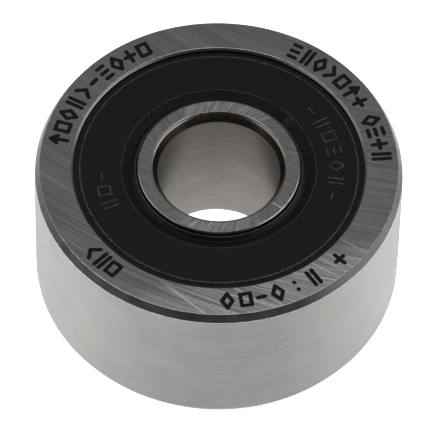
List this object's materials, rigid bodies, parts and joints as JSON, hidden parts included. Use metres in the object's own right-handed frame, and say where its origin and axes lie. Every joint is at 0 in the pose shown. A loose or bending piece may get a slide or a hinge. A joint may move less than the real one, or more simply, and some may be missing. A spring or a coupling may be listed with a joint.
{
  "type": "yoke-type cam follower",
  "caption": "Yoke-type cam follower: a thick outer ring that rolls on caged balls round a bored inner ring, closed at each end by a black lip seal.",
  "frame": {"origin": "on the axis of rotation at mid-width, in the middle of the bore", "axes": "+Z along the axis of rotation; +X through the first ball of the upper row; the two ends are alike, and 'upper' names the +Z end"},
  "size_m": [0.024, 0.024, 0.011],
  "materials": {
    "ring_steel": "ground bearing steel; turned and blackened chamfers and bore lead-ins",
    "ball_steel": "lapped mirror",
    "cage_polyamide": "moulded, natural glass-filled polyamide",
    "seal_rubber": "moulded nitrile, satin black",
    "stiffener_steel": "cold-rolled sheet"
  },
  "bodies": {
    "inner_ring_body": {"inner_ring": "ring_steel"},
    "roller": {"outer_ring": "ring_steel", "upper_seal_rubber": "seal_rubber", "upper_seal_stiffener": "stiffener_steel", "lower_seal_rubber": "seal_rubber", "lower_seal_stiffener": "stiffener_steel"},
    "upper_cage_body": {"upper_cage": "cage_polyamide"},
    "lower_cage_body": {"lower_cage": "cage_polyamide"},
    "upper_ball_1_body": {"upper_ball_1": "ball_steel"},
    "upper_ball_2_body": {"upper_ball_2": "ball_steel"},
    "upper_ball_3_body": {"upper_ball_3": "ball_steel"},
    "upper_ball_4_body": {"upper_ball_4": "ball_steel"},
    "upper_ball_5_body": {"upper_ball_5": "ball_steel"},
    "upper_ball_6_body": {"upper_ball_6": "ball_steel"},
    "upper_ball_7_body": {"upper_ball_7": "ball_steel"},
    "upper_ball_8_body": {"upper_ball_8": "ball_steel"},
    "upper_ball_9_body": {"upper_ball_9": "ball_steel"},
    "lower_ball_1_body": {"lower_ball_1": "ball_steel"},
    "lower_ball_2_body": {"lower_ball_2": "ball_steel"},
    "lower_ball_3_body": {"lower_ball_3": "ball_steel"},
    "lower_ball_4_body": {"lower_ball_4": "ball_steel"},
    "lower_ball_5_body": {"lower_ball_5": "ball_steel"},
    "lower_ball_6_body": {"lower_ball_6": "ball_steel"},
    "lower_ball_7_body": {"lower_ball_7": "ball_steel"},
    "lower_ball_8_body": {"lower_ball_8": "ball_steel"},
    "lower_ball_9_body": {"lower_ball_9": "ball_steel"}
  },
  "joints": [
    {"name": "roller_spin", "type": "hinge", "parent": "inner_ring_body", "child": "roller", "pos_m": [0, 0, 0], "axis": [0, 0, 1], "continuous": true},
    {"name": "upper_cage_spin", "type": "hinge", "parent": "inner_ring_body", "child": "upper_cage_body", "pos_m": [0, 0, 0], "axis": [0, 0, 1], "continuous": true},
    {"name": "lower_cage_spin", "type": "hinge", "parent": "inner_ring_body", "child": "lower_cage_body", "pos_m": [0, 0, 0], "axis": [0, 0, 1], "continuous": true},
    {"name": "upper_ball_1_spin", "type": "hinge", "parent": "upper_cage_body", "child": "upper_ball_1_body", "pos_m": [0.0075, 0, 0.00181], "axis": [0.5, 0, 0.866], "continuous": true},
    {"name": "upper_ball_2_spin", "type": "hinge", "parent": "upper_cage_body", "child": "upper_ball_2_body", "pos_m": [0.00575, 0.00482, 0.00181], "axis": [0.383, 0.3214, 0.866], "continuous": true},
    {"name": "upper_ball_3_spin", "type": "hinge", "parent": "upper_cage_body", "child": "upper_ball_3_body", "pos_m": [0.0013, 0.00739, 0.00181], "axis": [0.0868, 0.4924, 0.866], "continuous": true},
    {"name": "upper_ball_4_spin", "type": "hinge", "parent": "upper_cage_body", "child": "upper_ball_4_body", "pos_m": [-0.00375, 0.0065, 0.00181], "axis": [-0.25, 0.433, 0.866], "continuous": true},
    {"name": "upper_ball_5_spin", "type": "hinge", "parent": "upper_cage_body", "child": "upper_ball_5_body", "pos_m": [-0.00705, 0.00257, 0.00181], "axis": [-0.4698, 0.171, 0.866], "continuous": true},
    {"name": "upper_ball_6_spin", "type": "hinge", "parent": "upper_cage_body", "child": "upper_ball_6_body", "pos_m": [-0.00705, -0.00257, 0.00181], "axis": [-0.4698, -0.171, 0.866], "continuous": true},
    {"name": "upper_ball_7_spin", "type": "hinge", "parent": "upper_cage_body", "child": "upper_ball_7_body", "pos_m": [-0.00375, -0.0065, 0.00181], "axis": [-0.25, -0.433, 0.866], "continuous": true},
    {"name": "upper_ball_8_spin", "type": "hinge", "parent": "upper_cage_body", "child": "upper_ball_8_body", "pos_m": [0.0013, -0.00739, 0.00181], "axis": [0.0868, -0.4924, 0.866], "continuous": true},
    {"name": "upper_ball_9_spin", "type": "hinge", "parent": "upper_cage_body", "child": "upper_ball_9_body", "pos_m": [0.00575, -0.00482, 0.00181], "axis": [0.383, -0.3214, 0.866], "continuous": true},
    {"name": "lower_ball_1_spin", "type": "hinge", "parent": "lower_cage_body", "child": "lower_ball_1_body", "pos_m": [0.00705, 0.00257, -0.00181], "axis": [-0.4698, -0.171, 0.866], "continuous": true},
    {"name": "lower_ball_2_spin", "type": "hinge", "parent": "lower_cage_body", "child": "lower_ball_2_body", "pos_m": [0.00375, 0.0065, -0.00181], "axis": [-0.25, -0.433, 0.866], "continuous": true},
    {"name": "lower_ball_3_spin", "type": "hinge", "parent": "lower_cage_body", "child": "lower_ball_3_body", "pos_m": [-0.0013, 0.00739, -0.00181], "axis": [0.0868, -0.4924, 0.866], "continuous": true},
    {"name": "lower_ball_4_spin", "type": "hinge", "parent": "lower_cage_body", "child": "lower_ball_4_body", "pos_m": [-0.00575, 0.00482, -0.00181], "axis": [0.383, -0.3214, 0.866], "continuous": true},
    {"name": "lower_ball_5_spin", "type": "hinge", "parent": "lower_cage_body", "child": "lower_ball_5_body", "pos_m": [-0.0075, 0, -0.00181], "axis": [0.5, 0, 0.866], "continuous": true},
    {"name": "lower_ball_6_spin", "type": "hinge", "parent": "lower_cage_body", "child": "lower_ball_6_body", "pos_m": [-0.00575, -0.00482, -0.00181], "axis": [0.383, 0.3214, 0.866], "continuous": true},
    {"name": "lower_ball_7_spin", "type": "hinge", "parent": "lower_cage_body", "child": "lower_ball_7_body", "pos_m": [-0.0013, -0.00739, -0.00181], "axis": [0.0868, 0.4924, 0.866], "continuous": true},
    {"name": "lower_ball_8_spin", "type": "hinge", "parent": "lower_cage_body", "child": "lower_ball_8_body", "pos_m": [0.00375, -0.0065, -0.00181], "axis": [-0.25, 0.433, 0.866], "continuous": true},
    {"name": "lower_ball_9_spin", "type": "hinge", "parent": "lower_cage_body", "child": "lower_ball_9_body", "pos_m": [0.00705, -0.00257, -0.00181], "axis": [-0.4698, 0.171, 0.866], "continuous": true}
  ],
  "couplings": [
    {"joint": "upper_cage_spin", "follows": "roller_spin", "ratio": 0.59165},
    {"joint": "lower_cage_spin", "follows": "roller_spin", "ratio": 0.59165},
    {"joint": "upper_ball_1_spin", "follows": "roller_spin", "ratio": 2.2828},
    {"joint": "upper_ball_2_spin", "follows": "roller_spin", "ratio": 2.2828},
    {"joint": "upper_ball_3_spin", "follows": "roller_spin", "ratio": 2.2828},
    {"joint": "upper_ball_4_spin", "follows": "roller_spin", "ratio": 2.2828},
    {"joint": "upper_ball_5_spin", "follows": "roller_spin", "ratio": 2.2828},
    {"joint": "upper_ball_6_spin", "follows": "roller_spin", "ratio": 2.2828},
    {"joint": "upper_ball_7_spin", "follows": "roller_spin", "ratio": 2.2828},
    {"joint": "upper_ball_8_spin", "follows": "roller_spin", "ratio": 2.2828},
    {"joint": "upper_ball_9_spin", "follows": "roller_spin", "ratio": 2.2828},
    {"joint": "lower_ball_1_spin", "follows": "roller_spin", "ratio": 2.2828},
    {"joint": "lower_ball_2_spin", "follows": "roller_spin", "ratio": 2.2828},
    {"joint": "lower_ball_3_spin", "follows": "roller_spin", "ratio": 2.2828},
    {"joint": "lower_ball_4_spin", "follows": "roller_spin", "ratio": 2.2828},
    {"joint": "lower_ball_5_spin", "follows": "roller_spin", "ratio": 2.2828},
    {"joint": "lower_ball_6_spin", "follows": "roller_spin", "ratio": 2.2828},
    {"joint": "lower_ball_7_spin", "follows": "roller_spin", "ratio": 2.2828},
    {"joint": "lower_ball_8_spin", "follows": "roller_spin", "ratio": 2.2828},
    {"joint": "lower_ball_9_spin", "follows": "roller_spin", "ratio": 2.2828}
  ]
}
